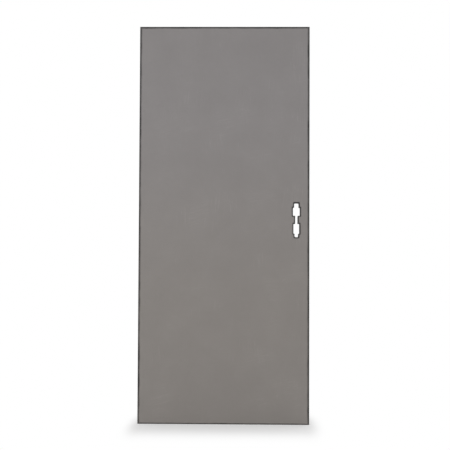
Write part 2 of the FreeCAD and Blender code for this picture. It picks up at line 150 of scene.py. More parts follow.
class Graph:
    """Shader nodes, wired by plain calls."""

    def __init__(self, tree: bpy.types.NodeTree) -> None:
        """Work on the nodes of a material or of the world."""
        self.tree = tree

    def node(self, kind: str, **settings: object) -> Node:
        """Add a node.

        Args:
            kind: Blender's name for the node's type.
            settings: Properties to set on the node.

        Returns:
            The new node.
        """
        node = self.tree.nodes.new(kind)
        for name, setting in settings.items():
            setattr(node, name, setting)
        return node

    def feed(self, socket: Socket, value: Input) -> None:
        """Give an input its value.

        Args:
            socket: The input.
            value: Another node's output, or a plain value.
        """
        if isinstance(value, Socket):
            self.tree.links.new(value, socket)
        else:
            socket.default_value = value

    def fill(self, node: Node, inputs: dict[str | int, Input]) -> Socket:
        """Give several of a node's inputs their values.

        Args:
            node: The node.
            inputs: The values by the inputs' names or places.

        Returns:
            The node's first output.
        """
        for key, value in inputs.items():
            self.feed(node.inputs[key], value)
        return node.outputs[0]

    def math(self, operation: str, *operands: Input) -> Socket:
        """Work out a number by one of Blender's operations."""
        node = self.node("ShaderNodeMath", operation=operation)
        return self.fill(node, dict(enumerate(operands)))

    def chain(self, operation: str, numbers: Iterable[Input]) -> Socket:
        """Work several numbers into one, by the same operation in turn."""
        return reduce(partial(self.math, operation), numbers)

    def vector(self, operation: str, *operands: Input) -> Socket:
        """Work out a vector by one of Blender's operations."""
        node = self.node("ShaderNodeVectorMath", operation=operation)
        return self.fill(node, dict(enumerate(operands)))

    def length(self, vector: Input) -> Socket:
        """Measure a vector.

        Args:
            vector: The vector.

        Returns:
            Its length.
        """
        node = self.node("ShaderNodeVectorMath", operation="LENGTH")
        self.feed(node.inputs[0], vector)
        return node.outputs["Value"]

    def beyond(self, place: Input, middle: Input, half: Input) -> Socket:
        """Measure how far points lie outside a box along x, y and z, which is 0 inside it."""
        reach = self.vector("ABSOLUTE", self.vector("SUBTRACT", place, middle))
        return self.vector("MAXIMUM", self.vector("SUBTRACT", reach, half), ORIGIN)

    def parts(self, vector: Input) -> tuple[Socket, Socket, Socket]:
        """Split a vector into its x, y and z.

        Args:
            vector: The vector.

        Returns:
            Its three parts.
        """
        node = self.node("ShaderNodeSeparateXYZ")
        self.feed(node.inputs[0], vector)
        return node.outputs[0], node.outputs[1], node.outputs[2]

    def span(
        self, value: Input, low: float, high: float, to_low: float = 0.0, to_high: float = 1.0,
    ) -> Socket:
        """Carry a value from one span to another, with soft ends.

        Args:
            value: The value.
            low: Where the span starts.
            high: Where it ends.
            to_low: The result at and before the start.
            to_high: The result at and after the end.

        Returns:
            The carried value.
        """
        node = self.node("ShaderNodeMapRange", interpolation_type="SMOOTHSTEP")
        limits = {"From Min": low, "From Max": high, "To Min": to_low, "To Max": to_high}
        return self.fill(node, {"Value": value, **limits})

    def grey(self, level: Input) -> Socket:
        """Give a number as a grey colour of that level."""
        return self.fill(self.node("ShaderNodeCombineXYZ"), {"X": level, "Y": level, "Z": level})

    def shade(self, colour: Input, level: Input) -> Socket:
        """Darken or lighten a colour by a level around 1."""
        return self.vector("MULTIPLY", colour, self.grey(level))

    def blend(self, share: Input, first: Input, second: Input) -> Socket:
        """Blend two colours.

        Args:
            share: The second colour's share.
            first: The first colour.
            second: The second colour.

        Returns:
            The blended colour.
        """
        node = self.node("ShaderNodeMix", data_type="RGBA")
        self.fill(node, {BLEND_SHARE: share, BLEND_FIRST: rgba(first), BLEND_SECOND: rgba(second)})
        return node.outputs[BLEND_RESULT]

    def bump(self, height: Input, distance: float, under: Input | None = None) -> Socket:
        """Raise a surface by a height map.

        Args:
            height: The map, from 0 to 1.
            distance: The rise from 0 to 1, in metres.
            under: The normal of a coarser bump that this one lies on.

        Returns:
            The normal.
        """
        inputs = {"Height": height, "Distance": distance}
        if under is not None:
            inputs["Normal"] = under
        return self.fill(self.node("ShaderNodeBump"), inputs)

    def seen_directly(self) -> Socket:
        """Pick out the rays that show a thing to the eye, straight, in a mirror or through glass.

        Returns:
            1 for such a ray, 0 for any other.
        """
        path = self.node("ShaderNodeLightPath")
        kinds = ("Is Camera Ray", "Is Glossy Ray", "Is Transmission Ray")
        return self.chain("MAXIMUM", (path.outputs[kind] for kind in kinds))

    def join_shaders(self, share: Socket, first: Socket, second: Socket, end: str) -> None:
        """Blend two shaders, by the second one's share, into the output node named as the end."""
        blended = self.fill(self.node("ShaderNodeMixShader"), dict(enumerate((share, first, second))))
        self.feed(self.tree.nodes[end].inputs["Surface"], blended)


def rgba(colour: Input) -> Input:
    """Give a plain colour its alpha, and leave an output as it is."""
    return colour if isinstance(colour, Socket) else (*colour, 1.0)


class Surface(Graph):
    """A material's nodes round its principled shader, with each point's place in its object's frame."""

    def __init__(self, name: str) -> None:
        """Start a material that has only its shader.

        Args:
            name: The material's name.
        """
        self.material = bpy.data.materials.new(name)
        self.material.use_nodes = True
        super().__init__(self.material.node_tree)
        self.shader = self.tree.nodes["Principled BSDF"]
        self.place = self.node("ShaderNodeTexCoord").outputs["Object"]

    def give(self, name: str, value: Input) -> None:
        """Give one of the shader's own inputs its value."""
        self.feed(self.shader.inputs[name], value)


@dataclass(frozen=True)
class Pattern:
    """A soft random pattern, between 0 and 1.

    The scale is in bumps to a metre, the detail in octaves of finer bumps, and the roughness is their
    weight. The stretch is how much finer the pattern is along each axis, and the turn is in radians.
    """

    scale: float
    detail: float = 2.0
    roughness: float = 0.5
    stretch: Triple = (1.0, 1.0, 1.0)
    turn: Triple = ORIGIN

    def value(self, surface: Surface) -> Socket:
        """Give the pattern's value at each point.

        Args:
            surface: The material's nodes.

        Returns:
            The value.
        """
        stretched = surface.node("ShaderNodeMapping", vector_type="TEXTURE")
        sizes = [1 / factor for factor in self.stretch]
        place = surface.fill(stretched, {"Vector": surface.place, "Rotation": self.turn, "Scale": sizes})
        settings = {"Scale": self.scale, "Detail": self.detail, "Roughness": self.roughness}
        return surface.fill(surface.node("ShaderNodeTexNoise"), {"Vector": place, **settings})


@dataclass(frozen=True)
class Mottle:
    """A level that wanders between two values with a pattern."""

    pattern: Pattern
    low: float
    high: float

    def level(self, surface: Surface) -> Socket:
        """Give the level at each point."""
        return surface.span(self.pattern.value(surface), *COMMON_SPAN, self.low, self.high)


@dataclass(frozen=True)
class Scuffs:
    """Fine lines that handling has rubbed into a finish, in scattered patches.

    They run upright, leaning by an angle in radians, and follow the middle values of a pattern that is
    finest across them. They are as wide as it takes to wander from its middle by the width. The patches
    are where their own pattern rises over a span.
    """

    lean: float
    patch_scale: float
    fineness: Triple = (110.0, 110.0, 2.5)
    detail: float = 3.0
    width: float = 0.02
    rise: float = 0.10
    patch_span: Pair = (0.55, 0.68)

    def level(self, surface: Surface) -> Socket:
        """Give how much lighter the finish is at each point.

        Args:
            surface: The material's nodes.

        Returns:
            The rise of the finish's level, 0 off the scuffs.
        """
        lines = Pattern(1.0, self.detail, stretch=self.fineness, turn=(0.0, self.lean, 0.0))
        wander = surface.math("SUBTRACT", lines.value(surface), COMMON_MIDDLE)
        ridge = surface.span(surface.math("ABSOLUTE", wander), 0.0, self.width, self.rise, 0.0)
        patches = Pattern(self.patch_scale, self.detail).value(surface)
        return surface.math("MULTIPLY", ridge, surface.span(patches, *self.patch_span))


@dataclass(frozen=True)
class LockCutOut:
    """The lock's cut-out in both faces: a column of upright slots and holes, by width and height.

    The backset runs from the lock edge to the column's middle line, and the rise from the leaf's bottom
    to the middle of the neck. The cylinder and the turn follow upwards, the hub and the relief down.
    """

    backset: float = 69.0 * MILLIMETRE
    rise: float = 1082.4 * MILLIMETRE
    neck: Pair = (13.5 * MILLIMETRE, 42.8 * MILLIMETRE)
    cylinder: Pair = (37.4 * MILLIMETRE, 43.7 * MILLIMETRE)
    turn: Pair = (24.7 * MILLIMETRE, 23.4 * MILLIMETRE)
    hub: Pair = (31.5 * MILLIMETRE, 53.0 * MILLIMETRE)
    relief: Pair = (19.8 * MILLIMETRE, 18.0 * MILLIMETRE)

    def openings(self, leaf: Leaf) -> Iterator[tuple[Vector, Vector]]:
        """List the slots and holes as boxes that reach through the leaf.

        Args:
            leaf: The leaf that they are cut in.

        Yields:
            Each box's middle and half its size.
        """
        middle_x = leaf.high.x - self.backset
        middle_z = leaf.low.z + self.rise
        through = leaf.half.y
        yield Vector((middle_x, 0.0, middle_z)), Vector((self.neck[0] / 2, through, self.neck[1] / 2))
        for way, stack in ((1.0, (self.cylinder, self.turn)), (-1.0, (self.hub, self.relief))):
            start = middle_z + way * self.neck[1] / 2
            for width, height in stack:
                middle = Vector((middle_x, 0.0, start + way * height / 2))
                yield middle, Vector((width / 2, through, height / 2))
                start += way * height

    def distance(self, surface: Surface, leaf: Leaf) -> Socket:
        """Measure how far each point of a leaf's face lies from the nearest slot or hole."""
        outside = (surface.beyond(surface.place, *opening) for opening in self.openings(leaf))
        return surface.chain("MINIMUM", map(surface.length, outside))


@dataclass(frozen=True)
class Leaf:
    """The leaf's outer box, its solids by name, its screw mounts by name, and its lock's cut-out."""

    low: Vector
    high: Vector
    nodes: dict[str, Piece]
    mounts: dict[str, dict]
    cut_out: LockCutOut = LockCutOut()

    @property
    def centre(self) -> Vector:
        """Give the middle of the box."""
        return (self.low + self.high) / 2

    @property
    def half(self) -> Vector:
        """Give half the box's width, thickness and height."""
        return (self.high - self.low) / 2

    def depths(self, surface: Surface) -> tuple[Socket, Socket, Socket]:
        """Measure how far each point lies inside the box's sides along x, y and z."""
        reach = surface.vector("ABSOLUTE", surface.vector("SUBTRACT", surface.place, self.centre))
        return surface.parts(surface.vector("SUBTRACT", self.half, reach))

    def screw_mouths(self, mount: str) -> Iterator[Vector]:
        """List the mouths of an upright pair of screw holes.

        Args:
            mount: The name of the pair's mount.

        Yields:
            The middle of each hole's mouth.
        """
        middle = Vector(self.mounts[mount]["pos_m"])
        reach = self.mounts[mount]["dims"]["spacing_y_mm"] * MILLIMETRE / 2
        for way in (1.0, -1.0):
            yield middle + Vector((0.0, 0.0, way * reach))


@dataclass(frozen=True)
class Primer:
    """Baked grey primer with a painted-light fade, clouds, speckle, orange peel and the scuffs of
    handling.

    The fade is painted light, from a darker, warmer foot to a lighter, cooler top. It starts and ends at
    insets from the leaf's bottom and top.
    """

    # Painted light: the top colour is lighter and cooler than the bottom one, as if lit from above
    top: Triple = (0.257, 0.242, 0.240)
    bottom: Triple = (0.255, 0.235, 0.219)
    light_fade_insets: Pair = (0.5, 0.3)
    clouds: Mottle = Mottle(Pattern(5.0, detail=4.0, roughness=0.55), low=0.975, high=1.025)
    speckle: Mottle = Mottle(Pattern(700.0, detail=1.0), low=0.975, high=1.025)
    scuffs: tuple[Scuffs, ...] = (
        Scuffs(lean=0.09, patch_scale=4.0),
        Scuffs(lean=-0.05, patch_scale=6.5),
        Scuffs(lean=1.35, patch_scale=5.0),
    )
    roughness: Mottle = Mottle(Pattern(38.0, detail=4.0), low=0.51, high=0.62)
    specular: float = 0.35
    waves: Pattern = Pattern(3.2, detail=1.0, stretch=(1.0, 1.0, 0.35))
    wave_height: float = 0.9 * MILLIMETRE
    peel: Pattern = Pattern(420.0, roughness=0.6)
    peel_height: float = 0.08 * MILLIMETRE

    def material(self, name: str, leaf: Leaf) -> Material:
        """Make the finish.

        Args:
            name: The material's name.
            leaf: The leaf that it goes on.

        Returns:
            The material.
        """
        surface = Surface(name)
        self.colour(surface, leaf)
        surface.give("Roughness", self.roughness.level(surface))
        surface.give("Specular IOR Level", self.specular)
        waves = surface.bump(self.waves.value(surface), self.wave_height)
        surface.give("Normal", surface.bump(self.peel.value(surface), self.peel_height, waves))
        return surface.material

    def colour(self, surface: Surface, leaf: Leaf) -> None:
        """Colour the whole surface with primer."""
        surface.give("Base Color", self.paint(surface, leaf))

    def paint(self, surface: Surface, leaf: Leaf) -> Socket:
        """Lay down the primer with its painted-light fade, clouds, speckle and scuffs.

        Args:
            surface: The material's nodes.
            leaf: The leaf that it goes on.

        Returns:
            The primer's colour.
        """
        height = surface.parts(surface.place)[2]
        low, high = self.light_fade_insets
        # Painted light: the primer turns lighter and cooler towards the top
        fade = surface.span(height, leaf.low.z + low, leaf.high.z - high)
        colour = surface.blend(fade, self.bottom, self.top)
        rubbed = surface.chain("ADD", (1.0, *(scuffs.level(surface) for scuffs in self.scuffs)))
        for level in (self.clouds.level(surface), self.speckle.level(surface), rubbed):
            colour = surface.shade(colour, level)
        return colour


@dataclass(frozen=True)
class PrimedSheet(Primer):
    """Primer outside a folded sheet, with painted shade along its rims, and bare zinc-coated steel
    inside.

    The rims are how far the painted shade reaches from the folded edges, the top, the foot and the
    lock's cut-out. It fades over a span of that reach, and starts where a fold has turned into the face:
    the face span is of the share of the surface's direction that points out of the face. The coat goes
    as deep as primer creeps over a cut edge.
    """

    # Painted shade along the rims: its strength, reaches, span and unevenness
    rim_shade_strength: Mottle = Mottle(Pattern(10.0, detail=7.0, roughness=0.55), low=0.75, high=0.98)
    fold_rim: float = 12.7 * MILLIMETRE
    top_rim: float = 11.5 * MILLIMETRE
    foot_rim: float = 7.9 * MILLIMETRE
    lock_rim: float = 8.4 * MILLIMETRE
    rim_span: Pair = (0.3, 1.15)
    rim_shade_wobbles: tuple[Mottle, ...] = (
        Mottle(Pattern(14.0), low=-0.08, high=0.08),
        Mottle(Pattern(60.0, detail=3.0), low=-0.03, high=0.03),
    )
    face_span: Pair = (0.7, 0.97)
    coat_depth: float = 0.7 * MILLIMETRE
    coat_edge: float = 0.2 * MILLIMETRE
    zinc: Triple = (0.33, 0.33, 0.32)
    zinc_mottle: Mottle = Mottle(Pattern(90.0, detail=4.0, roughness=0.6), low=0.875, high=1.095)
    zinc_metal: float = 0.65

    def colour(self, surface: Surface, leaf: Leaf) -> None:
        """Colour the outside with primer and leave the inside bare.

        Args:
            surface: The material's nodes.
            leaf: The leaf that it goes on.
        """
        depths = leaf.depths(surface)
        depth = surface.chain("MINIMUM", depths)
        bare = surface.span(depth, self.coat_depth, self.coat_depth + self.coat_edge)
        # The primer, darkened by painted shade along the rims
        primer = self.shaded_at_rims(surface, leaf, depths[0])
        zinc = surface.shade(self.zinc, self.zinc_mottle.level(surface))
        surface.give("Base Color", surface.blend(bare, primer, zinc))
        surface.give("Metallic", surface.math("MULTIPLY", bare, self.zinc_metal))

    def shaded_at_rims(self, surface: Surface, leaf: Leaf, fold_depth: Socket) -> Socket:
        """Darken the faces' primer with painted shade along the edges and round the cut-out.

        Args:
            surface: The material's nodes.
            leaf: The leaf that it goes on.
            fold_depth: How far each point lies from the nearer folded edge.

        Returns:
            The primer's colour with its painted shade.
        """
        height = surface.parts(surface.place)[2]
        rims = (
            (fold_depth, self.fold_rim),
            (surface.math("SUBTRACT", leaf.high.z, height), self.top_rim),
            (surface.math("SUBTRACT", height, leaf.low.z), self.foot_rim),
            (leaf.cut_out.distance(surface, leaf), self.lock_rim),
        )
        shares = (surface.math("DIVIDE", depth, reach) for depth, reach in rims)
        shade_wobbles = (wobble.level(surface) for wobble in self.rim_shade_wobbles)
        inside = surface.chain("ADD", (surface.chain("MINIMUM", shares), *shade_wobbles))
        # Painted shade: darkest at the rims, fading inwards over the rim span, uneven along them
        rim_shade = surface.span(inside, *self.rim_span, 1.0, 0.0)
        strength = self.rim_shade_strength.level(surface)
        facing = surface.parts(surface.node("ShaderNodeNewGeometry").outputs["Normal"])[1]
        on_face = surface.span(surface.math("ABSOLUTE", facing), *self.face_span)
        darkening = surface.chain("MULTIPLY", (rim_shade, strength, on_face))
        return surface.shade(self.paint(surface, leaf), surface.math("SUBTRACT", 1.0, darkening))


@dataclass(frozen=True)
class PlateSteel:
    """Zinc-coated steel plate with a thin mist of primer on it.

    The mist covers a share of the steel that drifts up and down. Its pairs of levels are for bare steel
    and for mist.
    """

    steel: Triple = (0.40, 0.405, 0.41)
    grain: Pattern = Pattern(1500.0, stretch=(1.0, 1.0, 0.04))
    grain_levels: Pair = (0.85, 1.09)
    grain_depth: float = 0.02 * MILLIMETRE
    mist: Triple = (0.235, 0.222, 0.215)
    mist_mottle: Mottle = Mottle(Pattern(900.0, detail=1.0), low=0.94, high=1.06)
    mist_share: float = 0.6
    mist_drift: float = 0.1
    drifts: Pattern = Pattern(14.0)
    drops: Pattern = Pattern(1100.0, roughness=0.6)
    drop_span: Pair = (0.85, 1.15)
    metal: Pair = (0.85, 0.1)
    roughness: Pair = (0.36, 0.58)

    def material(self, name: str) -> Material:
        """Make the finish.

        Args:
            name: The material's name.

        Returns:
            The material.
        """
        surface = Surface(name)
        thinnest, thickest = self.mist_share - self.mist_drift, self.mist_share + self.mist_drift
        density = Mottle(self.drifts, thinnest, thickest).level(surface)
        misted = surface.span(surface.math("ADD", self.drops.value(surface), density), *self.drop_span)
        grain = self.grain.value(surface)
        steel = surface.shade(self.steel, surface.span(grain, *COMMON_SPAN, *self.grain_levels))
        mist = surface.shade(self.mist, self.mist_mottle.level(surface))
        surface.give("Base Color", surface.blend(misted, steel, mist))
        surface.give("Metallic", surface.span(misted, 0.0, 1.0, *self.metal))
        surface.give("Roughness", surface.span(misted, 0.0, 1.0, *self.roughness))
        surface.give("Normal", surface.bump(grain, self.grain_depth))
        return surface.material


@dataclass(frozen=True)
class KraftPaper:
    """Unbleached kraft paper, stiffened with resin."""

    light: Triple = (0.47, 0.33, 0.20)
    dark: Triple = (0.33, 0.215, 0.12)
    fibres: Pattern = Pattern(1300.0, detail=4.0, roughness=0.7, stretch=(1.0, 0.25, 1.0))
    fibre_share: float = 0.6
    fibre_height: float = 0.08 * MILLIMETRE
    blotches: Pattern = Pattern(45.0, detail=3.0, roughness=0.6)
    roughness: Pair = (0.75, 0.9)
    specular: float = 0.25

    def material(self, name: str) -> Material:
        """Make the finish.

        Args:
            name: The material's name.

        Returns:
            The material.
        """
        surface = Surface(name)
        fibres = self.fibres.value(surface)
        blotches = self.blotches.value(surface)
        fibre_tone = surface.math("MULTIPLY", fibres, self.fibre_share)
        blotch_tone = surface.math("MULTIPLY", blotches, 1.0 - self.fibre_share)
        tone = surface.span(surface.math("ADD", fibre_tone, blotch_tone), *COMMON_SPAN)
        surface.give("Base Color", surface.blend(tone, self.dark, self.light))
        surface.give("Roughness", surface.span(blotches, *COMMON_SPAN, *self.roughness))
        surface.give("Specular IOR Level", self.specular)
        surface.give("Normal", surface.bump(fibres, self.fibre_height))
        return surface.material


@dataclass(frozen=True)
class CutSteel:
    """Freshly cut or welded steel with a film of oil and heat colours."""

    bright: Triple = (0.46, 0.45, 0.44)
    burnt: Triple = (0.20, 0.155, 0.125)
    burnt_share: float = 0.35
    tints: Pattern = Pattern(260.0, detail=3.0, roughness=0.6)
    tint_span: Pair = (0.75, 0.95)
    metal: float = 0.9
    roughness: Pair = (0.28, 0.48)
    marks: Pattern = Pattern(2500.0, detail=1.0)
    mark_height: float = 0.01 * MILLIMETRE

    def material(self, name: str) -> Material:
        """Make the finish.

        Args:
            name: The material's name.

        Returns:
            The material.
        """
        surface = Surface(name)
        tints = self.tints.value(surface)
        share = surface.span(surface.math("ADD", tints, self.burnt_share), *self.tint_span)
        surface.give("Base Color", surface.blend(share, self.bright, self.burnt))
        surface.give("Metallic", self.metal)
        surface.give("Roughness", surface.span(tints, *COMMON_SPAN, *self.roughness))
        surface.give("Normal", surface.bump(self.marks.value(surface), self.mark_height))
        return surface.material


class MeshMaker:
    """Gathers corners and faces into one mesh."""

    def __init__(self) -> None:
        """Start with nothing."""
        self.corners: list[Vector] = []
        self.faces: list[tuple[int, ...]] = []

    def skin(self, rings: Sequence[Sequence[Vector]]) -> None:
        """Skin a row of rings and close both ends.

        Args:
            rings: The rings in order, with as many corners each.
        """
        first = len(self.corners)
        count = len(rings[0])
        last = first + (len(rings) - 1) * count
        for ring in rings:
            self.corners.extend(ring)
        for low in range(first, last, count):
            for index in range(count):
                following = (index + 1) % count
                near = (low + index, low + following)
                self.faces.append((*near, near[1] + count, near[0] + count))
        self.faces.append(tuple(range(first, first + count))[::-1])
        self.faces.append(tuple(range(last, last + count)))

    def piece(self, name: str, material: Material, slot: Slot, smooth: bool = False) -> Piece:
        """Make the object, riding on the leaf.

        Args:
            name: The object's name.
            material: Its material.
            slot: The listed finish that it belongs to; not used.
            smooth: Whether its faces are shaded as one curved surface.

        Returns:
            The object.
        """
        mesh = bpy.data.meshes.new(name)
        mesh.from_pydata([tuple(corner) for corner in self.corners], [], self.faces)
        mesh.materials.append(material)
        mesh.polygons.foreach_set("use_smooth", [smooth] * len(mesh.polygons))
        mesh.validate()
        piece = bpy.data.objects.new(name, mesh)
        bpy.context.scene.collection.objects.link(piece)
        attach(piece, BODY)
        return piece


class SubAssembly(ABC):
    """Pieces of the leaf that are made and dressed together."""

    @abstractmethod
    def build(self, leaf: Leaf) -> Iterator[Piece]:
        """Make and dress the pieces.

        Args:
            leaf: The leaf that they belong to.

        Yields:
            Each piece.
        """

    @staticmethod
    def dress(node: Piece, material: Material) -> Piece:
        """Give a solid its finish.

        Args:
            node: The solid's object.
            material: The finish's material.

        Returns:
            The dressed solid.
        """
        node.data.materials.clear()
        node.data.materials.append(material)
        return node


@dataclass
class FaceSheets(SubAssembly):
    """The two folded face sheets."""

    finish: PrimedSheet = PrimedSheet()
    sheets: tuple[str, ...] = ("front_face_sheet", "back_face_sheet")

    def build(self, leaf: Leaf) -> Iterator[Piece]:
        """Dress both sheets.

        Args:
            leaf: The leaf that they belong to.

        Yields:
            Each sheet.
        """
        material = self.finish.material("primed_face_sheet", leaf)
        for name in self.sheets:
            yield self.dress(leaf.nodes[name], material)


@dataclass
class EndChannels(SubAssembly):
    """The inverted channels that close the leaf's top and bottom, with their spot welds.

    A weld's profile lists shares of its radius and of its rise, from its rim to its middle.
    """

    finish: Primer = Primer()
    weld_finish: CutSteel = CutSteel(burnt_share=0.55)
    gauge: float = 1.5 * MILLIMETRE
    weld_radius: float = 3.2 * MILLIMETRE
    weld_rise: float = 0.15 * MILLIMETRE
    weld_profile: tuple[Pair, ...] = (
        (1.0, -0.5), (0.94, 0.45), (0.8, 1.0), (0.62, 0.7), (0.4, -0.2), (0.12, -0.4),
    )
    weld_count: int = 9
    weld_inset: float = 45.0 * MILLIMETRE
    weld_sides: int = 24

    def build(self, leaf: Leaf) -> Iterator[Piece]:
        """Dress both channels and weld them.

        Args:
            leaf: The leaf that they belong to.

        Yields:
            Each channel, and its welds as one piece.
        """
        material = self.finish.material("primed_end_channel", leaf)
        weld_material = self.weld_finish.material("spot_weld")
        for end in LeafEnd:
            channel = f"{end.value}_end_channel"
            yield self.dress(leaf.nodes[channel], material)
            welds = MeshMaker()
            for centre, way in self.weld_places(*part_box(channel)):
                welds.skin(self.weld(centre, way))
            yield welds.piece(f"{end.value}_channel_welds", weld_material, Slot.PRIMER, smooth=True)

    def weld_places(self, low: Vector, high: Vector) -> Iterator[tuple[Vector, float]]:
        """Space the welds along both flanges of a channel.

        Args:
            low: The channel's lowest corner.
            high: The channel's highest corner.

        Yields:
            Each weld's middle, and 1 if its flange faces the leaf's back, -1 if it faces the front.
        """
        step = (high.x - low.x - 2 * self.weld_inset) / (self.weld_count - 1)
        height = (low.z + high.z) / 2
        for index in range(self.weld_count):
            across = low.x + self.weld_inset + index * step
            yield Vector((across, low.y + self.gauge, height)), 1.0
            yield Vector((across, high.y - self.gauge, height)), -1.0

    def weld(self, centre: Vector, way: float) -> list[list[Vector]]:
        """Press one weld's raised ring and dimple into a flange.

        Args:
            centre: Its middle on the flange.
            way: 1 if the flange faces the leaf's back, -1 if it faces the front.

        Returns:
            The weld's rings, from its rim to its middle.
        """
        rings = []
        for share, rise in self.weld_profile:
            radius = self.weld_radius * share
            lift = way * self.weld_rise * rise
            ring = []
            for side in range(self.weld_sides):
                angle = -way * math.tau * side / self.weld_sides
                ring.append(centre + Vector((radius * math.cos(angle), lift, radius * math.sin(angle))))
            rings.append(ring)
        return rings


@dataclass(frozen=True)
class TappedHole:
    """A tapped hole's thread of 24 turns to the inch, cut along x from its mouth.

    The flank is the share of the pitch that each side of a ridge takes. A ridge fades in and out over a
    share of a turn, and starts at the least share of its full height.
    """

    radius: float = 2.25 * MILLIMETRE
    pitch: float = INCH / 24
    crest: float = 0.32 * MILLIMETRE
    root_sink: float = 0.02 * MILLIMETRE
    flank: float = 0.43
    fade_turn: float = 1 / 3
    least_crest: float = 0.05
    steps: int = 28

    def thread(self, mouth: Vector, depth: float) -> list[list[Vector]]:
        """Cut the thread.

        Args:
            mouth: The middle of the hole's mouth.
            depth: How far it runs along x; the sign gives the direction.

        Returns:
            The ridge's sections along its run.
        """
        inset = self.pitch * self.flank
        run = abs(depth) - 2 * inset
        count = round(run / self.pitch * self.steps)
        way = math.copysign(1.0, depth)
        wall = self.radius + self.root_sink
        fade_steps = self.steps * self.fade_turn
        sections = []
        for step in range(count + 1):
            angle = math.tau * step / self.steps
            along = inset + run * step / count
            height = max(self.least_crest, min(1.0, step / fade_steps, (count - step) / fade_steps))
            crest = wall - (self.crest + self.root_sink) * height
            section = []
            for radius, offset in ((wall, -inset), (crest, 0.0), (wall, inset)):
                spoke = (way * (along + offset), radius * math.cos(angle), radius * math.sin(angle))
                section.append(mouth + Vector(spoke))
            sections.append(section if way > 0 else section[::-1])
        return sections


@dataclass
class HingePlates(SubAssembly):
    """The three hinge reinforcements behind the hinge edge, with the threads of their holes."""

    finish: PlateSteel = PlateSteel()
    thread_finish: CutSteel = CutSteel(burnt_share=0.1)
    hole: TappedHole = TappedHole()
    gauge: float = 4.5 * MILLIMETRE
    screw_rows: tuple[str, ...] = ("outer_screws", "inner_screws")

    def build(self, leaf: Leaf) -> Iterator[Piece]:
        """Dress the plates and thread their holes.

        Args:
            leaf: The leaf that they belong to.

        Yields:
            Each plate, and its threads as one piece.
        """
        material = self.finish.material("hinge_plate_steel")
        thread_material = self.thread_finish.material("hinge_thread")
        for hinge in Hinge:
            yield self.dress(leaf.nodes[f"{hinge.value}_hinge_reinforcement"], material)
            threads = MeshMaker()
            for row in self.screw_rows:
                for mouth in leaf.screw_mouths(f"{hinge.value}_hinge_{row}"):
                    threads.skin(self.hole.thread(mouth, self.gauge))
            yield threads.piece(f"{hinge.value}_hinge_threads", thread_material, Slot.PLATE)


@dataclass
class LockTabs(SubAssembly):
    """The two stepped tabs that take the lock front's screws, with the threads of their holes."""

    finish: PlateSteel = PlateSteel(mist_share=0.35)
    thread_finish: CutSteel = CutSteel(burnt_share=0.1)
    hole: TappedHole = TappedHole()
    gauge: float = 2.7 * MILLIMETRE
    tabs: tuple[str, ...] = ("upper_lock_tab", "lower_lock_tab")

    def build(self, leaf: Leaf) -> Iterator[Piece]:
        """Dress the tabs and thread their holes.

        Args:
            leaf: The leaf that they belong to.

        Yields:
            Each tab, and the threads of both as one piece.
        """
        material = self.finish.material("lock_tab_steel")
        for name in self.tabs:
            yield self.dress(leaf.nodes[name], material)
        threads = MeshMaker()
        for mouth in leaf.screw_mouths("lock_front_screws"):
            threads.skin(self.hole.thread(mouth, -self.gauge))
        yield threads.piece("lock_tab_threads", self.thread_finish.material("lock_thread"), Slot.PLATE)


@dataclass(frozen=True)
class Pocket:
    """An upright rectangle that the core's paper is cut away in, by its corners' x and z."""

    low: Point
    high: Point

    def cut(self, line: Sequence[Point]) -> Iterator[list[Point]]:
        """Cut the stretch inside the pocket out of a line.

        Args:
            line: The line's x and z.

        Yields:
            Each stretch that is left.
        """
        run = [line[0]]
        for start, finish in zip(line, line[1:]):
            enters, leaves = self.crossing(start, finish)
            if enters >= leaves:
                run.append(finish)
                continue
            if enters > 0:
                run.append(between(start, finish, enters))
            if len(run) > 1:
                yield run
            run = [between(start, finish, leaves)]
            if leaves < 1:
                run.append(finish)
        if len(run) > 1:
            yield run

    def crossing(self, start: Point, finish: Point) -> Pair:
        """Find the share of a straight run that lies inside the pocket.

        Args:
            start: The run's start.
            finish: The run's end.

        Returns:
            Where it enters and leaves, from 0 to 1, in that order only if it comes inside.
        """
        enters, leaves = 0.0, 1.0
        for begin, end, low, high in zip(start, finish, self.low, self.high):
            step = end - begin
            if step == 0.0:
                if not low < begin < high:
                    return 1.0, 0.0
                continue
            near, far = sorted(((low - begin) / step, (high - begin) / step))
            enters, leaves = max(enters, near), min(leaves, far)
        return enters, leaves


def between(start: Point, finish: Point, share: float) -> Point:
    """Give the point at a share of a straight run."""
    return start[0] + share * (finish[0] - start[0]), start[1] + share * (finish[1] - start[1])


def trimmed(points: Sequence[Point], low: float, high: float) -> list[Point]:
    """Cut a rising line off at two heights.

    Args:
        points: The line's x and z.
        low: The lower height.
        high: The upper height.

    Returns:
        The line between the heights.
    """
    line: list[Point] = []
    for start, finish in zip(points, points[1:]):
        if finish[1] <= low or start[1] >= high:
            continue
        climb = finish[1] - start[1]
        for share in (max(0.0, (low - start[1]) / climb), min(1.0, (high - start[1]) / climb)):
            point = between(start, finish, share)
            if not line or math.dist(line[-1], point) > SHORTEST_STEP:
                line.append(point)
    return line


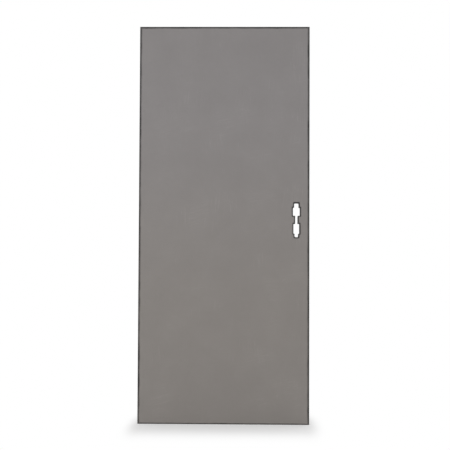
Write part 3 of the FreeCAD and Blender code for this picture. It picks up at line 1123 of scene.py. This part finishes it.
@dataclass
class HoneycombCore(SubAssembly):
    """The kraft honeycomb: upright ribbons of paper, glued to each other where they touch.

    Each ribbon goes to and fro between two lines a pitch apart. It runs flat along a line for a cell's
    side, where its neighbour is glued to it, and then slants across to the other line. Spare flats carry
    it past both ends of the core, where it is trimmed.
    """

    finish: KraftPaper = KraftPaper()
    cell: float = 25.0 * MILLIMETRE
    slant: float = math.radians(60.0)
    paper: float = 0.4 * MILLIMETRE
    unevenness: float = 0.7 * MILLIMETRE
    spare_flats: int = 2
    pocket_depth: float = 122.0 * MILLIMETRE
    pocket_height: float = 290.0 * MILLIMETRE
    seed: int = 7

    def build(self, leaf: Leaf) -> Iterator[Piece]:
        """Make the core in place of its plain solid.

        Args:
            leaf: The leaf that it fills.

        Yields:
            The core.
        """
        low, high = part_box("honeycomb_core")
        middle = leaf.low.z + leaf.cut_out.rise
        pocket = Pocket(
            (leaf.high.x - self.pocket_depth, middle - self.pocket_height / 2),
            (leaf.high.x, middle + self.pocket_height / 2),
        )
        core = MeshMaker()
        for ribbon in self.ribbons(low, high):
            for run in pocket.cut(ribbon):
                core.skin(self.strip(run, low.y, high.y))
        piece = core.piece("kraft_honeycomb", self.finish.material("kraft_paper"), Slot.KRAFT)
        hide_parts("honeycomb_core")
        yield piece

    def ribbons(self, low: Vector, high: Vector) -> Iterator[list[Point]]:
        """Lay out each ribbon's line from the bottom to the top.

        Args:
            low: The core's lowest corner.
            high: The core's highest corner.

        Yields:
            The line's x and z at each crease.
        """
        count = round((high.x - low.x) / (self.cell / 2))
        pitch = (high.x - low.x) / count
        side = pitch / math.sin(self.slant)
        rise = side * (1 + math.cos(self.slant))
        flats = math.ceil((high.z - low.z) / rise) + self.spare_flats
        nudges = self.nudges(count + 1, flats)
        for ribbon in range(count):
            points = []
            for flat in range(flats):
                far = (flat + ribbon) % 2
                line = ribbon + far
                inset = self.paper / 2 - far * self.paper
                for end in (0, 1):
                    nudge_x, nudge_z = nudges[line, flat, end]
                    if line in (0, count):
                        nudge_x = 0.0
                    height = low.z - side + flat * rise + end * side
                    points.append((low.x + line * pitch + inset + nudge_x, height + nudge_z))
            yield trimmed(points, low.z, high.z)

    def nudges(self, lines: int, flats: int) -> dict[tuple[int, int, int], Pair]:
        """Draw how far each crease lies off its place, the same for both ribbons that meet there.

        Args:
            lines: How many upright lines there are.
            flats: How many flats lie along a line.

        Returns:
            The x and z of each nudge, by line, flat and the flat's end.
        """
        chance = random.Random(self.seed)
        creases = [(line, flat, end) for line in range(lines) for flat in range(flats) for end in (0, 1)]
        draw = partial(chance.uniform, -self.unevenness, self.unevenness)
        return {crease: (draw(), draw()) for crease in creases}

    def strip(self, run: Sequence[Point], front: float, back: float) -> list[list[Vector]]:
        """Give a ribbon's line the paper's thickness and the core's depth.

        Args:
            run: The line's x and z.
            front: The y of the front edge.
            back: The y of the back edge.

        Returns:
            The rings of the strip.
        """
        rings = []
        for index, (x, z) in enumerate(run):
            before = Vector(run[max(index - 1, 0)])
            after = Vector(run[min(index + 1, len(run) - 1)])
            heading = (after - before).normalized() * self.paper / 2
            left = (x - heading.y, z + heading.x)
            right = (x + heading.y, z - heading.x)
            corners = ((left, front), (right, front), (right, back), (left, back))
            rings.append([Vector((across, depth, height)) for (across, height), depth in corners])
        return rings


@dataclass(frozen=True)
class Lamp:
    """A broad square lamp that faces the leaf's middle."""

    name: str
    offset: Triple
    power: float
    side: float = 3.0

    def hang(self, leaf: Leaf) -> None:
        """Hang the lamp.

        Args:
            leaf: The leaf that it lights.
        """
        data = bpy.data.lights.new(self.name, "AREA")
        data.shape = "SQUARE"
        data.size = self.side
        data.energy = self.power
        lamp = bpy.data.objects.new(self.name, data)
        offset = Vector(self.offset)
        lamp.location = leaf.centre + offset
        lamp.rotation_euler = (-offset).to_track_quat("-Z", "Y").to_euler()
        bpy.context.scene.collection.objects.link(lamp)


@dataclass(frozen=True)
class PictureCamera:
    """A camera that sees the leaf's corners where the picture has them; its angles are in degrees."""

    place: Triple = (0.5755, -6.0, -0.2600)
    pitch: float = 2.2962
    yaw: float = 1.1435
    roll: float = 0.2499
    lens: float = 90.042
    sensor: float = 36.0

    def stand(self) -> None:
        """Stand the camera and look through it."""
        data = bpy.data.cameras.new("picture_camera")
        data.lens = self.lens
        data.sensor_width = self.sensor
        camera = bpy.data.objects.new("picture_camera", data)
        pitch, yaw, roll = (math.radians(angle) for angle in (self.pitch, self.yaw, self.roll))
        tilt = Matrix.Rotation(math.pi / 2 + pitch, 4, "X") @ Matrix.Rotation(roll, 4, "Z")
        camera.matrix_world = Matrix.Translation(self.place) @ Matrix.Rotation(yaw, 4, "Z") @ tilt
        bpy.context.scene.collection.objects.link(camera)
        bpy.context.scene.camera = camera


@dataclass
class Studio:
    """The white floor, the white surroundings, the lamps and the camera.

    Near the leaf the eye sees the lit floor with the leaf's real shadow on it. That floor is grey even
    out of the shadow, so the share in which it shows is a painted shadow too. That share falls off from
    a little inside the leaf's sides, over a reach beside the leaf and another before and behind it, and
    the rest of the floor is plain white to the eye.
    """

    floor_reach: float = 12.0
    floor_mottle: Mottle = Mottle(Pattern(3.0), low=0.925, high=0.935)
    floor_roughness: float = 0.9
    shadow_share: float = 0.70
    shadow_inset: float = 0.030
    shadow_reach: Pair = (0.067, 0.40)
    shadow_fall: float = 3.0
    ambient: float = 0.71
    lamps: tuple[Lamp, ...] = (
        Lamp("front_lamp", offset=(-1.8, -4.5, 0.0), power=42.0),
        Lamp("back_lamp", offset=(1.8, 4.5, 1.2), power=36.0),
    )
    camera: PictureCamera = PictureCamera()

    def build(self, leaf: Leaf) -> None:
        """Set up everything round the leaf.

        Args:
            leaf: The leaf that it shows.
        """
        bpy.context.scene.view_settings.view_transform = "Standard"
        self.lay_floor(leaf)
        self.surround()
        for lamp in self.lamps:
            lamp.hang(leaf)
        self.camera.stand()

    def lay_floor(self, leaf: Leaf) -> None:
        """Lay the floor under the leaf.

        Args:
            leaf: The leaf that stands on it.
        """
        ways = ((-1, -1), (1, -1), (1, 1), (-1, 1))
        corners = [(x * self.floor_reach, y * self.floor_reach, 0.0) for x, y in ways]
        mesh = bpy.data.meshes.new("studio_floor")
        mesh.from_pydata(corners, [], [(0, 1, 2, 3)])
        mesh.materials.append(self.floor_material(leaf))
        floor = bpy.data.objects.new("studio_floor", mesh)
        floor.location = (leaf.centre.x, leaf.centre.y, leaf.low.z)
        bpy.context.scene.collection.objects.link(floor)
        floor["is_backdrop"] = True

    def floor_material(self, leaf: Leaf) -> Material:
        """Make a floor that shows a painted shadow, with the real one inside it, near the leaf and is
        plain white further off.

        Args:
            leaf: The leaf that stands on it.

        Returns:
            The material.
        """
        surface = Surface("studio_white")
        surface.give("Base Color", surface.grey(self.floor_mottle.level(surface)))
        surface.give("Roughness", self.floor_roughness)
        surface.give("Specular IOR Level", 0.0)
        white = surface.node("ShaderNodeEmission")
        # Painted shadow: the lit grey floor shows through in a soft patch round the leaf's foot, shaped
        # here
        shaded = leaf.half - Vector((self.shadow_inset, 0.0, 0.0))
        beyond = surface.beyond(surface.place, ORIGIN, shaded)
        shares = surface.vector("DIVIDE", beyond, (*self.shadow_reach, 1.0))
        fall = surface.math("POWER", surface.length(shares), self.shadow_fall)
        near = surface.math("EXPONENT", surface.math("MULTIPLY", fall, -1.0))
        plain = surface.math("SUBTRACT", 1.0, surface.math("MULTIPLY", near, self.shadow_share))
        seen = surface.math("MULTIPLY", plain, surface.seen_directly())
        surface.join_shaders(seen, surface.shader.outputs[0], white.outputs[0], "Material Output")
        return surface.material

    def surround(self) -> None:
        """Make the surroundings white to the eye and a plain soft light to the leaf."""
        world = bpy.data.worlds.new("studio_world")
        world.use_nodes = True
        bpy.context.scene.world = world
        graph = Graph(world.node_tree)
        light, white = (
            graph.fill(background, {"Color": rgba(WHITE), "Strength": strength})
            for background, strength in (
                (graph.tree.nodes["Background"], self.ambient),
                (graph.node("ShaderNodeBackground"), 1.0),
            )
        )
        graph.join_shaders(graph.seen_directly(), light, white, "World Output")


def clear_stage() -> None:
    """Take away what a new file starts with."""
    for thing in list(bpy.data.objects):
        bpy.data.objects.remove(thing)


def main() -> None:
    """Build the leaf's looks round its solids."""
    logging.basicConfig(level=logging.INFO, format="%(message)s")
    clear_stage()
    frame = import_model()
    solid_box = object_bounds()
    mounts = {mount["name"]: mount for mount in frame["record"]["mounts"]}
    leaf = Leaf(*solid_box, frame["nodes"], mounts)

    for assembly in (FaceSheets(), EndChannels(), HingePlates(), LockTabs(), HoneycombCore()):
        for piece in assembly.build(leaf):
            finish = piece.data.materials[0].name
            LOG.info("%s: %d faces in %s", piece.name, len(piece.data.polygons), finish)
    Studio().build(leaf)

    boxes = {"cad": solid_box, "visual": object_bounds()}
    {name: [list(corner) for corner in box] for name, box in boxes.items()}


if __name__ == "__main__":
    main()
